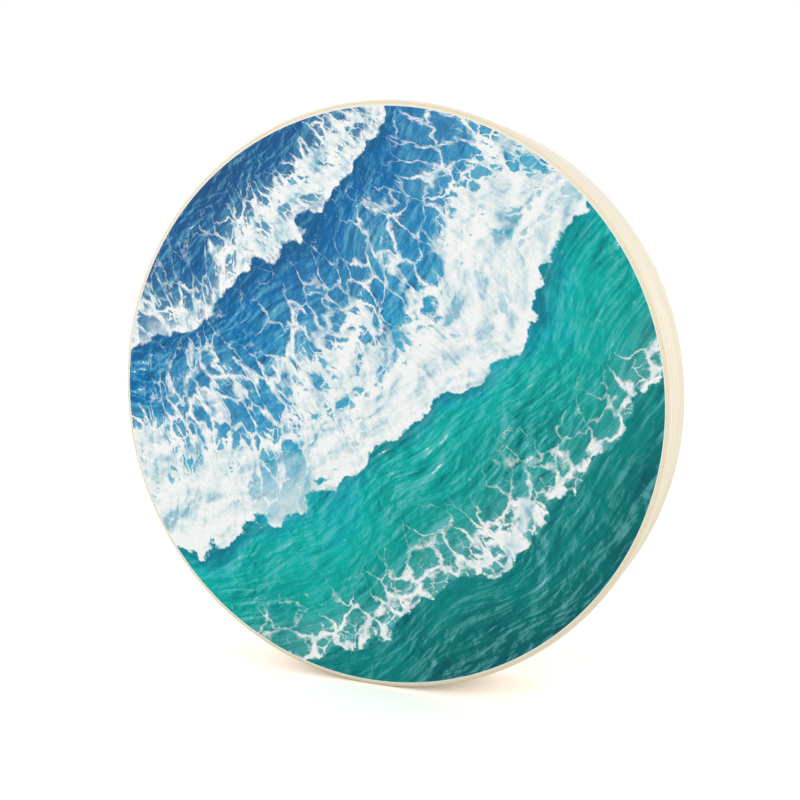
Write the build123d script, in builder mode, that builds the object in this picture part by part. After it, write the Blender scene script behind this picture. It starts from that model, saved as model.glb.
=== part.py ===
"""Ocean drum: a laminated wooden hoop closed by two film heads, with loose steel shot inside.

The drum stands on its rim. Its axis runs along Y, the printed head faces -Y and the clear head +Y.
The origin is on the floor, under the middle of the drum. All sizes are in millimetres and degrees.
"""

import math
import os

from build123d import *

# Driving dimensions of the drum
drum_diameter = 400.0
drum_depth = 60.0

# Film heads and the glue under them
film_thickness = 0.35
glue_thickness = 0.15
glue_inset = 0.3

# Bent hoop: three plies with a thin glue line between them
outer_ply = 1.8
core_ply = 3.2
inner_ply = 1.8
glue_line = 0.1
edge_round = 3.5
inner_edge_round = 1.0

# Each ply is a bent strip whose ends meet in a butt seam; the three seams are spread round the hoop
seam_gap = 0.3
outer_seam_angle = 215.0
core_seam_angle = 335.0
inner_seam_angle = 95.0

# Steel shot, in layers that lie on the bottom of the hoop; a span is how far a layer spreads along it
bead_diameter = 5.0
bead_gap = 0.4
layer_clearance = 0.35
layer_spans = (114.0, 82.0, 40.0)
lowest_angle = 270.0

# Sizes that follow from the ones above
drum_radius = drum_diameter / 2
hoop_depth = drum_depth - 2 * (film_thickness + glue_thickness)
core_outer_radius = drum_radius - outer_ply - glue_line
inner_outer_radius = core_outer_radius - core_ply - glue_line
chamber_radius = inner_outer_radius - inner_ply
hoop_wall = drum_radius - chamber_radius
film_radius = drum_radius - edge_round
chamber_depth = hoop_depth + 2 * glue_thickness

# The drum plane looks out of the front: local X is to the right, local Y up and local Z to the front
drum_plane = Plane(origin=(0, 0, drum_radius), x_dir=(1, 0, 0), z_dir=(0, -1, 0))
drum_axis = Axis((0, 0, drum_radius), (0, 1, 0))


def polar_point(radius, angle, height=0.0):
    """A point of the drum plane at a radius and a clock angle, and at a height towards the front."""
    turn = math.radians(angle)
    return Vector(radius * math.cos(turn), radius * math.sin(turn), height)


def ply_ring(inner_radius, outer_radius, seam_angle):
    """One ply: the band between two radii of the hoop's rounded section, bent round to its butt seam."""
    turn = math.radians(seam_angle)
    seam_normal = (math.sin(turn), 0, -math.cos(turn))
    seam_plane = Plane(origin=drum_plane.origin, x_dir=(0, 1, 0), z_dir=seam_normal)
    with BuildPart() as ply:
        with BuildSketch(seam_plane) as section:
            with Locations((0, chamber_radius + hoop_wall / 2)):
                Rectangle(hoop_depth, hoop_wall)
            fillet(section.vertices().group_by(Axis.Y)[-1], edge_round)
            fillet(section.vertices().group_by(Axis.Y)[0], inner_edge_round)
            with Locations((0, (inner_radius + outer_radius) / 2)):
                Rectangle(hoop_depth, outer_radius - inner_radius, mode=Mode.INTERSECT)
        revolve(axis=drum_axis, revolution_arc=360 - math.degrees(seam_gap / outer_radius))
    return ply


def glue_ring(start):
    """A thin ring of glue on one flat edge of the hoop, from the given height towards the front."""
    with BuildPart() as ring:
        with BuildSketch(drum_plane.offset(start)):
            Circle(film_radius - glue_inset)
            Circle(chamber_radius + inner_edge_round, mode=Mode.SUBTRACT)
        extrude(amount=glue_thickness)
    return ring


def film_head(start):
    """A flat film disc that reaches out to where the hoop's edge starts to round over."""
    with BuildPart() as head:
        with BuildSketch(drum_plane.offset(start)):
            Circle(film_radius)
        extrude(amount=film_thickness)
    return head


def bead_centres(radius, span):
    """Centres of one layer of shot, in staggered rows along the hoop about its lowest point."""
    pitch = bead_diameter + bead_gap
    row_pitch = pitch * math.sqrt(3) / 2
    rows = int(span // row_pitch) + 1
    row_angle = math.degrees(row_pitch / radius)
    room = chamber_depth - 2 * layer_clearance - bead_diameter - pitch / 2
    columns = int(room // pitch) + 1
    centres = []
    for row in range(rows):
        angle = lowest_angle + (row - (rows - 1) / 2) * row_angle
        stagger = pitch / 4 if row % 2 else -pitch / 4
        for column in range(columns):
            height = (column - (columns - 1) / 2) * pitch + stagger
            centres.append(polar_point(radius, angle, height))
    return centres


def bead_layer(number):
    """One layer of equal balls. The first layer lies on the hoop and each next one on the layer below."""
    step = bead_diameter + layer_clearance
    radius = chamber_radius - step + bead_diameter / 2 - (number - 1) * step
    with BuildPart(drum_plane) as layer:
        with Locations(bead_centres(radius, layer_spans[number - 1])):
            Sphere(bead_diameter / 2)
    return layer


pieces = {
    "shell_outer_ply": ply_ring(core_outer_radius + glue_line, drum_radius, outer_seam_angle),
    "shell_core_ply": ply_ring(inner_outer_radius + glue_line, core_outer_radius, core_seam_angle),
    "shell_inner_ply": ply_ring(chamber_radius, inner_outer_radius, inner_seam_angle),
    "front_glue_ring": glue_ring(hoop_depth / 2),
    "back_glue_ring": glue_ring(-chamber_depth / 2),
    "front_head": film_head(chamber_depth / 2),
    "back_head": film_head(-drum_depth / 2),
}
for number in range(1, len(layer_spans) + 1):
    pieces[f"bead_layer_{number}"] = bead_layer(number)

os.makedirs("parts", exist_ok=True)
for name, piece in pieces.items():
    piece.part.label = name
    export_step(piece.part, f"parts/{name}.step")
    print(f"{name}: {len(piece.solids())} solids, {piece.part.volume:.0f} mm3")
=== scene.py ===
import math

import bpy
import numpy as np
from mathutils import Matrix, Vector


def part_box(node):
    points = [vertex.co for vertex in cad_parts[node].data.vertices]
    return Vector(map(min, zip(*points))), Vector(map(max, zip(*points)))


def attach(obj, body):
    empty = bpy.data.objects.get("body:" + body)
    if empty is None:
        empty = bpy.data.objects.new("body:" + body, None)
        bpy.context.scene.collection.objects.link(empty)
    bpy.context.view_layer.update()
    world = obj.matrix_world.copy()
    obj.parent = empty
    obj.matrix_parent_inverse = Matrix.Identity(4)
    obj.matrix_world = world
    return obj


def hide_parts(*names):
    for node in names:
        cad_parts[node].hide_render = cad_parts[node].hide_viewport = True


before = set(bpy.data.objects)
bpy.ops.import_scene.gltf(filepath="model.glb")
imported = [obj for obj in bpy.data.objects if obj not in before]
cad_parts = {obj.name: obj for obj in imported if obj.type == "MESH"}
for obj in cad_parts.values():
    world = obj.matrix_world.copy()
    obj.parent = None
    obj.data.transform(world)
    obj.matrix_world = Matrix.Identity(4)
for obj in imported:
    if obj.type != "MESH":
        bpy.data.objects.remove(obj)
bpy.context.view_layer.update()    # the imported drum, in metres, standing on its rim

# places that everything else is worked out from
mm = 0.001
hoopLow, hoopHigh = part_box("shell_outer_ply")
coreLow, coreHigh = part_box("shell_core_ply")
frontLow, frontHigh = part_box("front_head")
backLow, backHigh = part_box("back_head")
axisHeight = (hoopLow.z + hoopHigh.z) / 2
hoopRadius = (hoopHigh.x - hoopLow.x) / 2
hoopHalf = (coreHigh.y - coreLow.y) / 2    # half the hoop's depth
filmRadius = (frontHigh.x - frontLow.x) / 2
wholeTurn = 2 * math.pi


def linear(hexText):
    # sRGB hex colour to linear light, as the shaders want it
    value = np.array([int(hexText[i:i + 2], 16) for i in (1, 3, 5)]) / 255
    light = np.where(value <= 0.04045, value / 12.92, ((value + 0.055) / 1.055) ** 2.4)
    return (*light.tolist(), 1.0)


def addNode(tree, kind, feeds=(), pick=0, stops=(), **settings):
    # one node: its options, its ramp stops, then what feeds its sockets, either by name or number or in
    # their order; gives back the picked output
    node = tree.nodes.new("ShaderNode" + kind)
    for option, value in settings.items():
        setattr(node, option, value)
    if stops:
        ramp = node.color_ramp.elements
        while len(ramp) < len(stops):
            ramp.new(0.5)
        for element, (place, colour) in zip(ramp, stops):
            element.position = place
            element.color = linear(colour)
    for socket, value in feeds.items() if isinstance(feeds, dict) else enumerate(feeds):
        if isinstance(value, bpy.types.NodeSocket):
            tree.links.new(value, node.inputs[socket])
        else:
            node.inputs[socket].default_value = value
    return node.outputs[pick] if len(node.outputs) else node


def startMaterial(name):
    material = bpy.data.materials.new(name)
    material.use_nodes = True
    material.node_tree.nodes.clear()
    return material, material.node_tree


def makePiece(name, points, faces, material, body, slot, *nodes):
    # puts arrays into a mesh, shades it smooth, lets it ride on its body and stand for its CAD nodes
    mesh = bpy.data.meshes.new(name)
    mesh.from_pydata(points.reshape(-1, 3), [], faces)
    mesh.polygons.foreach_set("use_smooth", np.ones(len(mesh.polygons), bool))
    mesh.update()
    mesh.materials.append(material)
    piece = bpy.data.objects.new(name, mesh)
    bpy.context.scene.collection.objects.link(piece)
    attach(piece, body)
    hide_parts(*nodes)
    return piece


def bentStrip(radius, depth, angle, closed):
    # a closed section carried round the drum's axis: rows are steps round the drum, columns go round the
    # section, and a point is axis + radius * (cos, sin) of its clock angle, at its depth along the axis
    points = np.stack([radius * np.cos(angle), depth, axisHeight + radius * np.sin(angle)], axis=-1)
    rows, columns = radius.shape
    row = np.arange(rows if closed else rows - 1)[:, None] * columns
    column = np.arange(columns)
    nextRow = (row + columns) % (rows * columns)
    nextColumn = (column + 1) % columns
    quads = np.stack([row + column, row + nextColumn, nextRow + nextColumn, nextRow + column], -1)
    faces = quads.reshape(-1, 4).tolist()
    if not closed:
        faces += [column[::-1].tolist(), ((rows - 1) * columns + column).tolist()]
    return points, faces


# printed head: a span gives a value's two ends, then what they turn into
surfPrint = {
    "margin": 0.65,    # mm of white film left bare round the print
    "edgeBlur": 0.1,    # mm, half the softness of the print's edge
    "paintedShowThrough": 0.2,    # how much of the print shows on the inside: painted light coming through the white film, and its ink seen through it
    "bareFilm": "#f4f7f6",
    "roughness": 0.38,
    "shine": 0.12,    # low, because the ink is satin
    "swellCentre": (-255.0, 330.0),    # mm, the far point that the swell lines curve about
    "slowBend": (120.0, 60.0),    # mm, size and reach of the bends in the swell lines
    # relief layers: mm along the swell, mm across it, weight
    "ripples": ((30.0, 11.0, 1.0), (12.0, 5.0, 0.8), (5.0, 2.4, 0.55)),
    "billows": ((30.0, 24.0, 1.0), (11.0, 12.0, 0.7), (4.0, 30.0, 0.35), (3.5, 4.0, 0.3)),
    "reliefStep": (0.15, 0.25),    # from a ripple's lit side to its shaded side, as a share of its size
    "calm": 75.0,    # mm, size of the calm and the choppy stretches
    "calmSpan": (0.32, 0.66, 0.35, 1.15),    # noise to how high the ripples are
    # breakers: front in mm towards the shore, mm of white water, mm of lacy tail, strength
    "breakers": ((-112.0, 9.0, 38.0, 0.75), (38.0, 30.0, 90.0, 1.0), (140.0, 0.0, 34.0, 0.5)),
    "puffs": (21.0, 13.0),    # mm, size and reach of the scallops in a breaker's front
    "wander": (34.0, 44.0),    # mm, size and reach of its ragged wandering
    "inset": 29.0,    # mm, half of what the two move it out to sea, taken back
    "stretches": (95.0, 60.0),    # mm along and across, size of its strong and weak stretches
    "ownStretches": (7.3, 3.1),    # how far each breaker's stretches are moved from the last one's
    "powerSpan": (0.34, 0.62, 0.2, 1.25),    # noise to how strong it is there
    "frontBlur": 2.5,    # mm over which its front turns white
    "bandFade": (0.9, 0.5, 1.0),    # shares of its width over which it thins, out and in, and mm more
    "tailFade": 2.0,    # the tail is spent at this many times its length
    "darkAhead": (16.0, 0.5, 0.55),    # mm of shaded water in front of it and under it, and how dark
    "crest": (16.0, 0.10),    # mm of brightest white behind its front, and how much brighter
    "foamCells": ((17.0, 24.0, 0.0), (8.0, 10.0, 0.25)),    # mm along, mm across, least density that shows
    "curl": 1.5,    # how far the borders of the cells are curled, in cells
    "threads": (6.0, 0.16),    # mm, size of the thick and thin places in the lace, and their reach
    "threadSpan": (1.2, -0.05, 0.34),    # density of a full tail; a thread's width in cells, least and most
    "threadEdge": (0.04, 0.12),    # cells inside a thread's border, where it begins and is full
    "pinholes": 2.4,    # mm
    "pinholeSpan": (0.3, 0.5, 0.8, 1.0),    # noise to how much foam is left
    "shallows": (70.0, 120.0),    # mm, size and reach of the patches in the water's colour
    "water": ((0.0, "#044f88"), (0.22, "#066bac"), (0.40, "#0c8cc4"), (0.53, "#14adcf"),
              (0.64, "#02b5ab"), (0.78, "#049a91"), (1.0, "#066566")),    # from the open sea to the shore
    "tones": (    # what brings a tone into the water, where it starts and is full, its most, its colour
        ("tail", 0.1, 1.1, 0.7, "#8fd3dc"),    # milky with air
        ("chop", 0.0, 0.40, 0.8, "#7fd0dc"),    # lit side of a ripple
        ("chop", 0.0, -0.36, 0.75, "#053f63"),    # trough
        ("shaded", 0.0, 1.0, 1.0, "#04506a"),    # ahead of a breaker
        ("chop", 0.27, 0.36, 0.85, "#eefafa"),    # glint
    ),
    "foam": ((0.0, "#93bfd2"), (0.45, "#d9eaee"), (0.75, "#f1f6f7"), (1.0, "#fafcfc")),
    "foamSpan": (-0.26, 0.14),    # relief of the darkest and the whitest foam
}


def swellPlace(tree, flat):
    # a polar map about a far centre, first bent by a slow noise: mm along the swell lines, and mm across
    # them, counted towards the shore from the line through the middle of the head
    size, reach = surfPrint["slowBend"]
    drift = addNode(tree, "TexNoise", {"Vector": flat, "Scale": 1 / size, "Detail": 1}, pick="Color")
    shift = addNode(tree, "VectorMath", (drift, (0.5, 0.5, 0.5)), operation="SUBTRACT")
    bent = addNode(tree, "VectorMath", (shift, (reach, reach, 0), flat), operation="MULTIPLY_ADD")
    centre = surfPrint["swellCentre"]
    middle = math.hypot(*centre)
    arm = addNode(tree, "VectorMath", (bent, (*centre, 0)), operation="SUBTRACT")
    right, up = (addNode(tree, "SeparateXYZ", (arm,), pick=i) for i in range(2))
    distance = addNode(tree, "VectorMath", (arm,), pick="Value", operation="LENGTH")
    bearing = addNode(tree, "Math", (up, right), operation="ARCTAN2")
    along = addNode(tree, "Math", (bearing, middle), operation="MULTIPLY")
    across = addNode(tree, "Math", (distance, middle), operation="SUBTRACT")
    return addNode(tree, "CombineXYZ", (along, across)), across


def litRelief(tree, swell, layers):
    # each layer is a noise stretched along the swell, less itself a step away, so it reads as lit relief
    relief = 0.0
    for lengthMm, widthMm, weight in layers:
        stretch = (1 / lengthMm, 1 / widthMm, 0)
        scaled = addNode(tree, "VectorMath", (swell, stretch), operation="MULTIPLY")
        stepped = addNode(tree, "VectorMath", (scaled, (*surfPrint["reliefStep"], 0)))
        here, there = (
            addNode(tree, "TexNoise", {"Vector": spot, "Scale": 1.0, "Detail": 2, "Distortion": 0.4})
            for spot in (scaled, stepped))
        slope = addNode(tree, "Math", (here, there), operation="SUBTRACT")
        relief = addNode(tree, "Math", (slope, weight, relief), operation="MULTIPLY_ADD")
    return relief


def raggedShore(tree, flat, across):
    # mm towards the shore, moved out to sea by scallops and by a ragged wandering
    size, reach = surfPrint["wander"]
    wander = addNode(tree, "TexNoise", {"Vector": flat, "Scale": 1 / size, "Detail": 5, "Roughness": 0.62})
    shore = addNode(tree, "Math", (wander, reach, across), operation="MULTIPLY_ADD")
    size, reach = surfPrint["puffs"]
    puffs = addNode(tree, "TexVoronoi", {"Vector": flat, "Scale": 1 / size, "Detail": 2, "Smoothness": 0.6},
                    feature="SMOOTH_F1")
    shore = addNode(tree, "Math", (puffs, reach, shore), operation="MULTIPLY_ADD")
    return addNode(tree, "Math", (shore, surfPrint["inset"]), operation="SUBTRACT")


def breakingWaves(tree, flat, swell, across):
    # each breaker has a scalloped front, a band of white water behind it, a lacy tail and dark water ahead;
    # white, tail, shaded and crest say how much of each there is at a point
    shore = raggedShore(tree, flat, across)
    lengthMm, widthMm = surfPrint["stretches"]
    wide = addNode(tree, "VectorMath", (swell, (1 / lengthMm, 1 / widthMm, 0)), operation="MULTIPLY")
    fadeOut, fadeIn, least = surfPrint["bandFade"]
    darkMm, underMm, darkness = surfPrint["darkAhead"]
    moveAlong, moveAcross = surfPrint["ownStretches"]
    white, tail, shaded, crest = 0.0, 0.0, 0.0, 0.0
    for number, (front, width, length, strength) in enumerate(surfPrint["breakers"]):
        own = addNode(tree, "VectorMath", (wide, (moveAlong * number, moveAcross * number, 0)))
        power = addNode(tree, "TexNoise", {"Vector": own, "Scale": 1.0, "Detail": 4, "Roughness": 0.6})
        power = addNode(tree, "MapRange", (power, *surfPrint["powerSpan"]))
        behind = addNode(tree, "Math", (front, shore), operation="SUBTRACT")
        begun = addNode(tree, "MapRange", (behind, 0.0, surfPrint["frontBlur"]))

        band = addNode(tree, "Math", (power, width), operation="MULTIPLY")
        fade = addNode(tree, "Math", (band, behind), operation="SUBTRACT")
        gone = -width * fadeOut - least
        full = width * fadeIn + least
        fade = addNode(tree, "MapRange", (fade, gone, full, 0.0, strength))
        fade = addNode(tree, "Math", (fade, begun), operation="MULTIPLY")
        white = addNode(tree, "Math", (fade, white), operation="MAXIMUM")

        spent = addNode(tree, "MapRange", (behind, 0.0, length * surfPrint["tailFade"], strength, 0.0),
                        interpolation_type="SMOOTHSTEP")
        spent = addNode(tree, "Math", (spent, begun), operation="MULTIPLY")
        spent = addNode(tree, "Math", (spent, power), operation="MULTIPLY")
        tail = addNode(tree, "Math", (spent, tail), operation="MAXIMUM")

        lip = addNode(tree, "MapRange", (behind, 0.0, surfPrint["crest"][0], 1.0, 0.0),
                      interpolation_type="SMOOTHSTEP")
        lip = addNode(tree, "Math", (lip, begun), operation="MULTIPLY")
        crest = addNode(tree, "Math", (lip, crest), operation="MAXIMUM")

        ahead = addNode(tree, "MapRange", (behind, -darkMm, 0.0, 0.0, darkness * strength),
                        interpolation_type="SMOOTHSTEP")
        ahead = addNode(tree, "Math", (ahead, power), operation="MULTIPLY")
        beyond = addNode(tree, "Math", (behind, underMm), operation="LESS_THAN")
        shaded = addNode(tree, "Math", (ahead, beyond, shaded), operation="MULTIPLY_ADD")
    return white, tail, shaded, crest


def foamLace(tree, flat, swell, white, tail):
    # white water, and threads along the borders of curled cells that widen as the tail gets denser
    size, reach = surfPrint["threads"]
    uneven = addNode(tree, "TexNoise", {"Vector": flat, "Scale": 1 / size, "Detail": 4, "Roughness": 0.7})
    curl = surfPrint["curl"]
    full, narrow, broad = surfPrint["threadSpan"]
    lace = white
    for lengthMm, widthMm, least in surfPrint["foamCells"]:
        stretch = (1 / lengthMm, 1 / widthMm, 0)
        scaled = addNode(tree, "VectorMath", (swell, stretch), operation="MULTIPLY")
        swirl = addNode(tree, "TexNoise", {"Vector": scaled, "Scale": 1.1, "Detail": 4, "Roughness": 0.55},
                        pick="Color")
        cells = addNode(tree, "VectorMath", (swirl, (curl, curl, 0), scaled), operation="MULTIPLY_ADD")
        border = addNode(tree, "TexVoronoi", {"Vector": cells, "Scale": 1.0}, feature="DISTANCE_TO_EDGE")
        width = addNode(tree, "MapRange", (tail, least, full, narrow, broad))
        width = addNode(tree, "Math", (uneven, reach, width), operation="MULTIPLY_ADD")
        within = addNode(tree, "Math", (width, border), operation="SUBTRACT")
        thread = addNode(tree, "MapRange", (within, *surfPrint["threadEdge"]))
        lace = addNode(tree, "Math", (thread, lace), operation="MAXIMUM")
    size = surfPrint["pinholes"]
    holes = addNode(tree, "TexNoise", {"Vector": flat, "Scale": 1 / size, "Detail": 3, "Roughness": 0.7})
    holes = addNode(tree, "MapRange", (holes, *surfPrint["pinholeSpan"]))
    return addNode(tree, "Math", (lace, holes), operation="MULTIPLY")


def seaWater(tree, flat, swell, across, tail, shaded):
    # colour by the distance out to sea, in patches, then each tone by what brings it in: air behind a
    # breaker, the two sides of the ripples, the dark water ahead of a breaker and the glints
    size, reach = surfPrint["shallows"]
    patch = addNode(tree, "TexNoise", {"Vector": flat, "Scale": 1 / size, "Detail": 4, "Roughness": 0.6})
    depth = addNode(tree, "Math", (patch, reach, across), operation="MULTIPLY_ADD")
    far = hoopRadius / mm
    depth = addNode(tree, "MapRange", (depth, reach / 2 - far, reach / 2 + far))
    water = addNode(tree, "ValToRGB", (depth,), stops=surfPrint["water"])
    calm = addNode(tree, "TexNoise", {"Vector": flat, "Scale": 1 / surfPrint["calm"], "Detail": 3})
    calm = addNode(tree, "MapRange", (calm, *surfPrint["calmSpan"]))
    relief = litRelief(tree, swell, surfPrint["ripples"])
    chop = addNode(tree, "Math", (relief, calm), operation="MULTIPLY")
    causes = {"tail": tail, "chop": chop, "shaded": shaded}
    for cause, start, full, most, tone in surfPrint["tones"]:
        share = addNode(tree, "MapRange", (causes[cause], start, full, 0.0, most))
        water = addNode(tree, "Mix", {0: share, 6: water, 7: linear(tone)}, pick=2, data_type="RGBA")
    return water


def seaPicture(tree, flat):
    # foam over water; the foam is white on its lit billows and behind a breaker's front, else bluish
    swell, across = swellPlace(tree, flat)
    white, tail, shaded, crest = breakingWaves(tree, flat, swell, across)
    lace = foamLace(tree, flat, swell, white, tail)
    water = seaWater(tree, flat, swell, across, tail, shaded)
    billow = litRelief(tree, swell, surfPrint["billows"])
    billow = addNode(tree, "Math", (crest, surfPrint["crest"][1], billow), operation="MULTIPLY_ADD")
    billow = addNode(tree, "MapRange", (billow, *surfPrint["foamSpan"]))
    foam = addNode(tree, "ValToRGB", (billow,), stops=surfPrint["foam"])
    return addNode(tree, "Mix", {0: lace, 6: water, 7: foam}, pick=2, data_type="RGBA")


def printedPolyester():
    # satin ink print on white polyester film: sea and surf from above, deep blue through turquoise to
    # green, crossed by curved lines of lacy foam; the bare film shows as a fine white line round it, and
    # on the inside, where a faint copy of the print is painted for the light that comes through the
    # white film and the ink seen through it
    material, tree = startMaterial("printedPolyesterFilm")
    place = addNode(tree, "TexCoord", pick="Object")
    flat = addNode(tree, "Mapping", {"Vector": place, "Scale": (1 / mm, 0, 1 / mm),
                                     "Rotation": (-math.pi / 2, 0, 0), "Location": (0, -axisHeight / mm, 0)})
    picture = seaPicture(tree, flat)
    bareFilm = linear(surfPrint["bareFilm"])
    blur = surfPrint["edgeBlur"]
    printed = filmRadius / mm - surfPrint["margin"]
    fromMiddle = addNode(tree, "VectorMath", (flat,), pick="Value", operation="LENGTH")
    bare = addNode(tree, "MapRange", (fromMiddle, printed - blur, printed + blur))
    colour = addNode(tree, "Mix", {0: bare, 6: picture, 7: bareFilm}, pick=2, data_type="RGBA")
    y = addNode(tree, "SeparateXYZ", (place,), pick=1)
    # painted light: on the inside face the print is mixed faintly into the bare film, for light coming
    # through the film and the ink seen through it
    inside = addNode(tree, "Math", (y, (frontLow.y + frontHigh.y) / 2), operation="GREATER_THAN")
    inside = addNode(tree, "Math", (inside, 1 - surfPrint["paintedShowThrough"]), operation="MULTIPLY")
    colour = addNode(tree, "Mix", {0: inside, 6: colour, 7: bareFilm}, pick=2, data_type="RGBA")
    shader = addNode(tree, "BsdfPrincipled", {"Base Color": colour, "Roughness": surfPrint["roughness"],
                                              "IOR": 1.5, "Specular IOR Level": surfPrint["shine"]})
    addNode(tree, "OutputMaterial", {"Surface": shader})
    return material


film = {
    "rings": 56,    # steps from the middle to the edge
    "sectors": 240,
    "edgeSteps": 5,    # steps round the film's cut edge
}


def filmDisc(name, low, high, material, slot, node):
    # closed disc of two parameters, path step and clock angle: the path runs from the middle of the front
    # face out to the cut edge, round it in a half circle, and back to the middle of the back face
    half = (high.y - low.y) / 2
    middle = (high.y + low.y) / 2
    out = filmRadius - half
    reach = np.linspace(0, out, film["rings"] + 1)[1:]
    bend = np.linspace(0, math.pi, film["edgeSteps"] + 2)[1:-1]
    radius = np.concatenate([reach, out + half * np.sin(bend), reach[::-1]])
    depth = np.concatenate([reach * 0 - half, -half * np.cos(bend), reach * 0 + half]) + middle
    count = film["sectors"]
    angle = np.arange(count) * wholeTurn / count
    grid = np.stack([radius[:, None] * np.cos(angle), depth[:, None] + 0 * angle,
                     axisHeight + radius[:, None] * np.sin(angle)], axis=-1).reshape(-1, 3)
    points = np.concatenate([grid, [[0, low.y, axisHeight], [0, high.y, axisHeight]]])
    ring = np.arange(len(radius) - 1)[:, None] * count
    here = np.arange(count)
    after = (here + 1) % count
    nextRing = ring + count
    quads = np.stack([ring + here, ring + after, nextRing + after, nextRing + here], -1).reshape(-1, 4)
    last = (len(radius) - 1) * count
    pole = len(grid)
    frontFan = np.stack([here * 0 + pole, after, here], -1)
    backFan = np.stack([here * 0 + pole + 1, last + here, last + after], -1)
    faces = quads[:, ::-1].tolist() + frontFan[:, ::-1].tolist() + backFan[:, ::-1].tolist()
    makePiece(name, points, faces, material, "drum", slot, node)


filmDisc("printedHead", frontLow, frontHigh, printedPolyester(), "printed_film", "front_head")
print("printed head made")


# clear head
clearFilm = {
    "tint": "#fcfefe",
    "roughness": 0.03,
    "ior": 1.57,    # polyester
    "pull": 60.0,    # mm, size of the slow waves that the stretched film is left with
    "pullHeight": 1.0,    # mm
    "pullStrength": 0.05,
}


def clearPolyester():
    # clear stretched polyester film: what is behind shows plainly, under a bright even gloss
    material, tree = startMaterial("clearPolyesterFilm")
    place = addNode(tree, "TexCoord", pick="Object")
    pull = addNode(tree, "TexNoise", {"Vector": place, "Scale": 1 / (clearFilm["pull"] * mm), "Detail": 2})
    bump = addNode(tree, "Bump", {"Height": pull, "Strength": clearFilm["pullStrength"],
                                  "Distance": clearFilm["pullHeight"] * mm})
    tint = linear(clearFilm["tint"])
    glass = addNode(tree, "BsdfPrincipled", {"Base Color": tint, "Roughness": clearFilm["roughness"],
                                             "IOR": clearFilm["ior"], "Transmission Weight": 1.0,
                                             "Normal": bump})
    clear = addNode(tree, "BsdfTransparent", {"Color": tint})
    shadow = addNode(tree, "LightPath", pick="Is Shadow Ray")
    shader = addNode(tree, "MixShader", (shadow, glass, clear))
    addNode(tree, "OutputMaterial", {"Surface": shader})
    return material


filmDisc("clearHead", backLow, backHigh, clearPolyester(), "clear_film", "back_head")
print("clear head made")


# bent hoop of three plies
hoop = {
    "plies": (    # piece, CAD node, thickness in mm, seam's clock angle in degrees
        ("outerPly", "shell_outer_ply", 1.8, 215.0),
        ("corePly", "shell_core_ply", 3.2, 335.0),
        ("innerPly", "shell_inner_ply", 1.8, 95.0),
    ),
    "glueLine": 0.1,    # mm between plies
    "outerRound": 3.5,    # mm, the round-over on the outer edges
    "innerRound": 1.0,    # mm
    "seamGap": 0.3,    # mm
    "steps": 480,    # round the drum
    "edgePoints": 14,    # across each edge of a ply
    "facePoints": 13,    # across each face of a ply
    "sharp": 35.0,    # degrees, past which a ridge stays sharp
}
wall = sum(ply[2] for ply in hoop["plies"]) + hoop["glueLine"] * (len(hoop["plies"]) - 1)
chamberRadius = hoopRadius - wall * mm

veneer = {
    "face": {"pale": "#f7f0df", "mid": "#f1e7d0", "dark": "#e7dabc", "edge": "#f3e9d2"},
    "core": {"pale": "#f6edd8", "mid": "#f1e4c6", "dark": "#e6d4ae", "edge": "#f4e6c6"},
    "grain": {    # mm along the grain and across it
        "cloud": (90, 26),
        "streak": (160, 2.6),
        "fibre": (26, 0.7),
        "fleck": (5, 0.45),
        "swirl": (340, 34),
    },
    "toneShares": {"streak": 0.5, "cloud": 0.3, "fibre": 0.2},
    "rings": (11.0, 0.05),    # growth rings that the swirl runs through, and their share in the tone
    "toneStops": (0.36, 0.52, 0.68),    # tones that are pale, mid and dark
    "fleckSpan": (0.62, 0.72, 0.0, 0.35),    # noise to how dark a fleck is
    "cutEdge": (-0.5, 2.6),    # mm past the start of the round-over, none and all of the cut edge's colour
    "cutSpan": (0.3, 0.7, 0.5, 1.0),    # cloud to how much of that colour a place takes
    "roughSpan": (0.3, 0.7, 0.42, 0.58),    # fibre to roughness
    "fibreHeight": 0.2,    # mm
    "fibreStrength": 0.12,
}


def stripPlace(tree, seam):
    # where a point lies on its bent strip, in mm: along the strip, counted from opposite its seam, across
    # the strip, and out from the drum's axis
    turn = math.pi - math.radians(seam)
    height = axisHeight / mm
    place = addNode(tree, "TexCoord", pick="Object")
    flat = addNode(tree, "Mapping", {"Vector": place, "Scale": (1 / mm, 1 / mm, 1 / mm),
                                     "Rotation": (-math.pi / 2, 0, turn),
                                     "Location": (height * math.sin(turn), -height * math.cos(turn), 0)})
    right, up, across = (addNode(tree, "SeparateXYZ", (flat,), pick=i) for i in range(3))
    angle = addNode(tree, "Math", (up, right), operation="ARCTAN2")
    along = addNode(tree, "Math", (angle, hoopRadius / mm), operation="MULTIPLY")
    spoke = addNode(tree, "CombineXYZ", (right, up))
    out = addNode(tree, "VectorMath", (spoke,), pick="Value", operation="LENGTH")
    return along, across, out


def birchGrain(tree, withGrain, overGrain, out):
    # one noise for each layer of the grain, stretched to its size along the grain and across it
    grain = {}
    for layer, (lengthMm, widthMm) in veneer["grain"].items():
        scaled = [addNode(tree, "Math", (socket, size), operation="DIVIDE")
                  for socket, size in ((withGrain, lengthMm), (overGrain, widthMm), (out, widthMm))]
        spot = addNode(tree, "CombineXYZ", scaled)
        grain[layer] = addNode(tree, "TexNoise", {"Vector": spot, "Scale": 1.0, "Detail": 3,
                                                  "Roughness": 0.55})
    return grain


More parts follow.
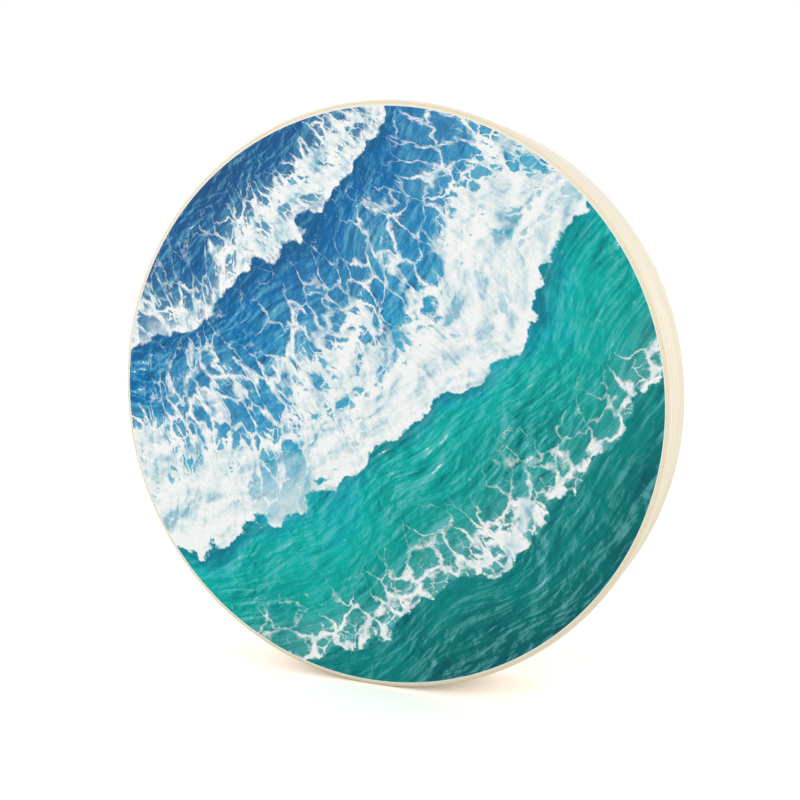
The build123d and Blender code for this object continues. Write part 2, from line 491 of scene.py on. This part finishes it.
def birchVeneer(name, seam, tones, crossGrain):
    # rotary cut birch, sanded and clear sealed: pale cream with faint long streaks and fine short flecks
    # that run with the strip, or cross it in the core; the cut edge on the round-over has its own colour
    material, tree = startMaterial(name)
    along, across, out = stripPlace(tree, seam)
    withGrain, overGrain = (across, along) if crossGrain else (along, across)
    grain = birchGrain(tree, withGrain, overGrain, out)
    tone = 0.0
    for layer, share in veneer["toneShares"].items():
        tone = addNode(tree, "Math", (grain[layer], share, tone), operation="MULTIPLY_ADD")
    count, share = veneer["rings"]
    rings = addNode(tree, "Math", (grain["swirl"], count * wholeTurn), operation="MULTIPLY")
    rings = addNode(tree, "Math", (rings,), operation="SINE")
    tone = addNode(tree, "Math", (rings, share, tone), operation="MULTIPLY_ADD")
    hues = (tones["pale"], tones["mid"], tones["dark"])
    colour = addNode(tree, "ValToRGB", (tone,), stops=tuple(zip(veneer["toneStops"], hues)))
    fleck = addNode(tree, "MapRange", (grain["fleck"], *veneer["fleckSpan"]))
    colour = addNode(tree, "Mix", {0: fleck, 6: colour, 7: linear(tones["dark"])}, pick=2, data_type="RGBA")

    aside = addNode(tree, "Math", (across,), operation="ABSOLUTE")
    past = addNode(tree, "Math", (aside, hoopHalf / mm - hoop["outerRound"]), operation="SUBTRACT")
    cut = addNode(tree, "MapRange", (past, *veneer["cutEdge"]))
    patchy = addNode(tree, "MapRange", (grain["cloud"], *veneer["cutSpan"]))
    cut = addNode(tree, "Math", (cut, patchy), operation="MULTIPLY")
    colour = addNode(tree, "Mix", {0: cut, 6: colour, 7: linear(tones["edge"])}, pick=2, data_type="RGBA")

    rough = addNode(tree, "MapRange", (grain["fibre"], *veneer["roughSpan"]))
    bump = addNode(tree, "Bump", {"Height": grain["fibre"], "Strength": veneer["fibreStrength"],
                                  "Distance": veneer["fibreHeight"] * mm})
    shader = addNode(tree, "BsdfPrincipled", {"Base Color": colour, "Roughness": rough, "IOR": 1.5,
                                              "Specular IOR Level": 0.3, "Normal": bump})
    addNode(tree, "OutputMaterial", {"Surface": shader})
    return material


def hoopPly(name, node, inside, outside, seam, material, slot):
    # one ply: the hoop's rounded section between two radii, carried round to its butt seam; half its depth
    # at a radius is the hoop's half depth less what the outer and the inner round-over take away there
    big, small = hoop["outerRound"] * mm, hoop["innerRound"] * mm
    swing = (1 - np.cos(np.linspace(0, math.pi, hoop["edgePoints"]))) / 2
    edge = outside + (inside - outside) * swing
    overBig = np.clip(edge - (hoopRadius - big), 0, big)
    overSmall = np.clip(chamberRadius + small - edge, 0, small)
    takenOutside = big - np.sqrt(big ** 2 - overBig ** 2)
    takenInside = small - np.sqrt(small ** 2 - overSmall ** 2)
    half = hoopHalf - takenOutside - takenInside
    face = np.linspace(-1, 1, hoop["facePoints"])[1:-1]
    radius = np.concatenate([face * 0 + outside, edge, face * 0 + inside, edge[::-1]])
    depth = np.concatenate([face * half[0], half, -face * half[-1], -half[::-1]])
    start = math.radians(seam)
    end = start + wholeTurn - hoop["seamGap"] * mm / outside
    angle = np.linspace(start, end, hoop["steps"] + 1)[:, None]
    points, faces = bentStrip(radius + 0 * angle, depth + 0 * angle, angle, False)
    piece = makePiece(name, points, faces, material, "drum", slot, node)
    piece.data.set_sharp_from_angle(angle=math.radians(hoop["sharp"]))


outside = hoopRadius
for name, node, thickness, seam in hoop["plies"]:
    kind = "core" if name == "corePly" else "face"
    material = birchVeneer(f"sandedBirchVeneer.{name}", seam, veneer[kind], kind == "core")
    hoopPly(name, node, outside - thickness * mm, outside, seam, material, f"hoop_{kind}_veneer")
    outside -= (thickness + hoop["glueLine"]) * mm
print("hoop made:", len(hoop["plies"]), "plies")


# glue under the heads
glue = {
    "steps": 720,    # round the drum
    "bead": (0.22, 0.42),    # mm, least and most radius of the squeezed-out bead inside the hoop
    "beadPoints": 12,
    "beadTuck": 0.6,    # radians that the bead goes on round below the film, past half a turn
    "inset": 0.3,    # mm from the film's edge to the glue's
    "wander": 0.12,    # mm that the outer edge of the glue strays inwards
    "waves": (3, 7, 16, 29, 53),    # times round the drum that the bead and the edge swell and shrink
    "below": 0.04,    # mm left free under the film, so that light gets in between
    "sharp": 50.0,    # degrees, past which a ridge stays sharp
    "patches": 7.0,    # mm, size of the thick and thin places
    "colours": ((0.3, "#f0e6c8"), (0.55, "#e2cf9f"), (0.75, "#cfb67e")),    # thin to thick
    "roughness": (0.22, 0.5),
    "seed": 5,
}


def driedGlue():
    # wood glue dried to a hard amber skin: smooth and slightly shiny, clearer where it is thin
    material, tree = startMaterial("driedWoodGlue")
    place = addNode(tree, "TexCoord", pick="Object")
    patch = addNode(tree, "TexNoise", {"Vector": place, "Scale": 1 / (glue["patches"] * mm), "Detail": 4})
    colour = addNode(tree, "ValToRGB", (patch,), stops=glue["colours"])
    rough = addNode(tree, "MapRange", (patch, 0.0, 1.0, *glue["roughness"]))
    shader = addNode(tree, "BsdfPrincipled", {"Base Color": colour, "Roughness": rough, "IOR": 1.48})
    addNode(tree, "OutputMaterial", {"Surface": shader})
    return material


def slowWave(angle, dice):
    # a smooth closed curve round the drum between 0 and 1: a few sines of whole turns with chance phases
    turns = np.array(glue["waves"])
    phase = dice.uniform(0, wholeTurn, len(turns))
    wave = np.sin(angle * turns + phase).sum(axis=1, keepdims=True)
    return (wave - wave.min()) / (wave.max() - wave.min())


def glueRing(name, node, side, material, dice):
    # a thin flat ring under the film that ends inside the hoop in a round bead of squeezed-out glue;
    # side is the way out of the drum, -1 in front and 1 at the back
    low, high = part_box(node)
    thick = high.y - low.y - glue["below"] * mm
    angle = (np.arange(glue["steps"]) * wholeTurn / glue["steps"])[:, None]
    least, most = np.array(glue["bead"]) * mm
    bead = least + (most - least) * slowWave(angle, dice)
    outer = filmRadius - (glue["inset"] + glue["wander"] * slowWave(angle, dice)) * mm
    top = max(side * low.y, side * high.y) - glue["below"] * mm    # of the glue, counted outwards
    centre = chamberRadius + hoop["innerRound"] * mm - most
    turn = np.linspace(math.pi / 2, 3 * math.pi / 2 + glue["beadTuck"], glue["beadPoints"])
    radius = np.concatenate([outer, centre + bead * np.cos(turn), outer], axis=1)
    rounded = top - bead + bead * np.sin(turn)
    depth = np.concatenate([top + 0 * angle, rounded, top - thick + 0 * angle], axis=1)
    points, faces = bentStrip(radius[:, ::side], side * depth[:, ::side], angle, True)
    piece = makePiece(name, points, faces, material, "drum", "glue", node)
    piece.data.set_sharp_from_angle(angle=math.radians(glue["sharp"]))


glueMaterial = driedGlue()
dice = np.random.default_rng(glue["seed"])
glueRing("frontGlue", "front_glue_ring", -1, glueMaterial, dice)
glueRing("backGlue", "back_glue_ring", 1, glueMaterial, dice)
print("glue made")


# loose steel shot in three layers
shot = {
    "diameter": 5.0,    # mm
    "gap": 0.4,    # mm between neighbours in a row of the CAD layer
    "rows": (25, 18, 9),    # of the CAD layers, round the hoop
    "columns": 10,    # of the CAD layers, across the hoop
    "apart": 5.05,    # mm, nearest that two centres of a layer may come
    "lift": 0.12,    # mm that a ball may lie nearer the axis than its layer
    "clear": 0.35,    # mm between the outermost balls and the heads
    "ragged": 0.10,    # share of a layer's length over which its ends straggle
    "rounds": 700,    # of pushing apart
    "cuts": 3,    # squares along each edge of the cube that a ball is blown up from
    "colours": ((0.0, "#a3a5a8"), (0.6, "#bfc1c3"), (1.0, "#d3d5d6")),    # darkest to lightest ball
    "scuffs": 1.6,    # mm
    "scuffSpan": (0.35, 0.7, 0.10, 0.30),    # noise to roughness
    "seed": 11,
}


def polishedSteel():
    # tumbled and polished steel: a bright mirror skin, each ball a little lighter or darker than the next,
    # with dull scuffs where it has rubbed
    material, tree = startMaterial("polishedSteelBalls")
    place = addNode(tree, "TexCoord", pick="Object")
    tone = addNode(tree, "Attribute", pick="Fac", attribute_name="ballTone")
    colour = addNode(tree, "ValToRGB", (tone,), stops=shot["colours"])
    scuff = addNode(tree, "TexNoise", {"Vector": place, "Scale": 1 / (shot["scuffs"] * mm), "Detail": 3})
    rough = addNode(tree, "MapRange", (scuff, *shot["scuffSpan"]))
    shader = addNode(tree, "BsdfPrincipled", {"Base Color": colour, "Metallic": 1.0, "Roughness": rough})
    addNode(tree, "OutputMaterial", {"Surface": shader})
    return material


def unitBall(cuts):
    # the lattice on a cube's six walls, spread by a tangent so its squares end up even, pushed out to a ball
    i, j = (step.ravel() for step in np.meshgrid(np.arange(cuts), np.arange(cuts)))
    square = np.stack([np.stack([i, j], -1), np.stack([i + 1, j], -1),
                       np.stack([i + 1, j + 1], -1), np.stack([i, j + 1], -1)], axis=1)
    walls = []
    for axis in range(3):
        for level in (0, cuts):
            corner = np.insert(square, axis, level, axis=2)
            walls.append(corner if (level > 0) == (axis != 1) else corner[:, ::-1])
    lattice, squares = np.unique(np.concatenate(walls).reshape(-1, 3), axis=0, return_inverse=True)
    points = np.tan((lattice / cuts - 0.5) * math.pi / 2)
    return points / np.linalg.norm(points, axis=1, keepdims=True), squares.reshape(-1, 4)


def looseLie(rows, pitch, dice):
    # centres of one layer laid flat, in mm round and across the hoop: thrown by chance over the room that
    # its rows take, each ball free to go nearly to the ends, then every two that lie too near are pushed
    # apart by half of what they lack, again and again
    room = np.array([rows * pitch * math.sqrt(3) / 2, (backLow.y - frontHigh.y) / mm - 2 * shot["clear"]])
    places = dice.uniform(-1, 1, (rows * shot["columns"], 2))
    limit = np.tile((room - shot["diameter"]) / 2, (len(places), 1))
    limit[:, 0] *= 1 - shot["ragged"] * dice.random(len(places))
    places = places * limit
    itself = np.eye(len(places))
    for _ in range(shot["rounds"]):
        between = places[:, None] - places[None]
        distance = np.linalg.norm(between, axis=-1) + itself
        lack = np.clip(shot["apart"] - distance, 0, None) * (1 - itself)
        places = places + 0.5 * (between * (lack / distance)[..., None]).sum(axis=1)
        places = np.clip(places, -limit, limit)
    return places


def shotLayer(number, rows, material, dice):
    # the flat lie rolled onto the layer's ring about the lowest point of the hoop; the ring's radius is the
    # axis height less the layer's lowest point and a ball's radius
    node = f"bead_layer_{number}"
    ball = shot["diameter"] / 2 * mm
    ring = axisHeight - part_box(node)[0].z - ball
    places = looseLie(rows, shot["diameter"] + shot["gap"], dice) * mm
    out = ring - dice.random(len(places)) * shot["lift"] * mm
    angle = places[:, 0] / ring - math.pi / 2
    x = out * np.cos(angle)
    z = axisHeight + out * np.sin(angle)
    centres = np.stack([x, places[:, 1], z], axis=-1)[:, None]
    unit, squares = unitBall(shot["cuts"])
    faces = squares + len(unit) * np.arange(len(centres))[:, None, None]
    piece = makePiece(f"shotLayer{number}", centres + ball * unit, faces.reshape(-1, 4).tolist(), material,
                      f"shot_layer_{number}", "steel_shot", node)
    tones = piece.data.attributes.new("ballTone", "FLOAT", "POINT")
    tones.data.foreach_set("value", np.repeat(dice.random(len(centres)), len(unit)))
    return len(centres)


steel = polishedSteel()
dice = np.random.default_rng(shot["seed"])
balls = sum(shotLayer(number, rows, steel, dice) for number, rows in enumerate(shot["rows"], 1))
print("shot made:", balls, "balls")


# plain stage and light
studio = {
    "floorHalf": 6.0,    # m
    "floor": "#dcd8d2",    # as it throws light back at the drum
    "floorSeen": (1.5, 1.43, 1.37, 1.0),    # as the eye sees it: over white, so that only its shadows show
    "sky": (0.93, 0.64),    # light from all round, at the horizon and overhead
    "lamps": {    # place in m, size in m, watts
        "key": ((-1.6, -2.0, 1.0), 1.4, 20.0),
        "side": ((2.6, -0.3, 0.45), 0.9, 19.5),
        "back": ((-1.0, 2.5, 0.8), 1.6, 9.0),
    },
}


def seenBy(tree, *rays):
    # 1 for any of these kinds of ray, and 0 for the rest
    seen = 0.0
    for ray in rays:
        seen = addNode(tree, "Math", (addNode(tree, "LightPath", pick=ray), seen), operation="MAXIMUM")
    return seen


def paintedFloor():
    # flat pale paint: plain to the light, over white to the eye, straight or through the clear head
    material, tree = startMaterial("paintedFloor")
    eye = seenBy(tree, "Is Camera Ray", "Is Transmission Ray")
    colour = addNode(tree, "Mix", {0: eye, 6: linear(studio["floor"]), 7: studio["floorSeen"]},
                     pick=2, data_type="RGBA")
    paint = addNode(tree, "BsdfDiffuse", {"Color": colour})
    addNode(tree, "OutputMaterial", {"Surface": paint})
    half = studio["floorHalf"]
    mesh = bpy.data.meshes.new("floor")
    corners = [(-half, -half, 0), (half, -half, 0), (half, half, 0), (-half, half, 0)]
    mesh.from_pydata(corners, [], [(0, 1, 2, 3)])
    mesh.materials.append(material)
    floor = bpy.data.objects.new("floor", mesh)
    bpy.context.scene.collection.objects.link(floor)


def studioSky():
    # white to the eye and in reflections; as a light it is brighter at the horizon than overhead
    world = bpy.data.worlds.new("studioWhite")
    world.use_nodes = True
    tree = world.node_tree
    tree.nodes.clear()
    white = (1, 1, 1, 1)
    up = addNode(tree, "SeparateXYZ", (addNode(tree, "TexCoord", pick="Generated"),), pick=2)
    strength = addNode(tree, "MapRange", (up, 0.0, 1.0, *studio["sky"]))
    light = addNode(tree, "Background", {"Color": white, "Strength": strength})
    plain = addNode(tree, "Background", {"Color": white, "Strength": 1.0})
    eye = seenBy(tree, "Is Camera Ray", "Is Transmission Ray", "Is Glossy Ray")
    sky = addNode(tree, "MixShader", (eye, light, plain))
    addNode(tree, "OutputWorld", {"Surface": sky})
    bpy.context.scene.world = world


def studioLamps():
    # square soft boxes that face the middle of the drum
    for name, (place, size, watts) in studio["lamps"].items():
        lamp = bpy.data.lights.new(name, "AREA")
        lamp.size = size
        lamp.energy = watts
        softbox = bpy.data.objects.new(name, lamp)
        softbox.location = place
        x, y, z = np.array((0, 0, axisHeight)) - place
        softbox.rotation_euler = (math.atan2(math.hypot(x, y), -z), 0, math.atan2(-x, y))
        bpy.context.scene.collection.objects.link(softbox)


# camera: a 50 mm lens on a 36 mm frame, in front of the drum, to its right and a little above its middle
view = {
    "place": (0.2975, -0.7163, 0.2927),    # m
    "turn": 21.96,    # degrees to the left of straight ahead
    "dip": 6.97,    # degrees below level
    "lens": 50.0,
    "frame": 36.0,
    "nearest": 0.02,    # m, nothing nearer is drawn
}


def makeCamera():
    camera = bpy.data.cameras.new("camera")
    camera.lens = view["lens"]
    camera.sensor_width = view["frame"]
    camera.clip_start = view["nearest"]
    eye = bpy.data.objects.new("camera", camera)
    eye.location = view["place"]
    eye.rotation_euler = (math.radians(90 - view["dip"]), 0, math.radians(view["turn"]))
    bpy.context.scene.collection.objects.link(eye)
    bpy.context.scene.camera = eye
    bpy.context.scene.view_settings.view_transform = "Standard"


paintedFloor()
studioSky()
studioLamps()
makeCamera()
print("stage, light and camera made")
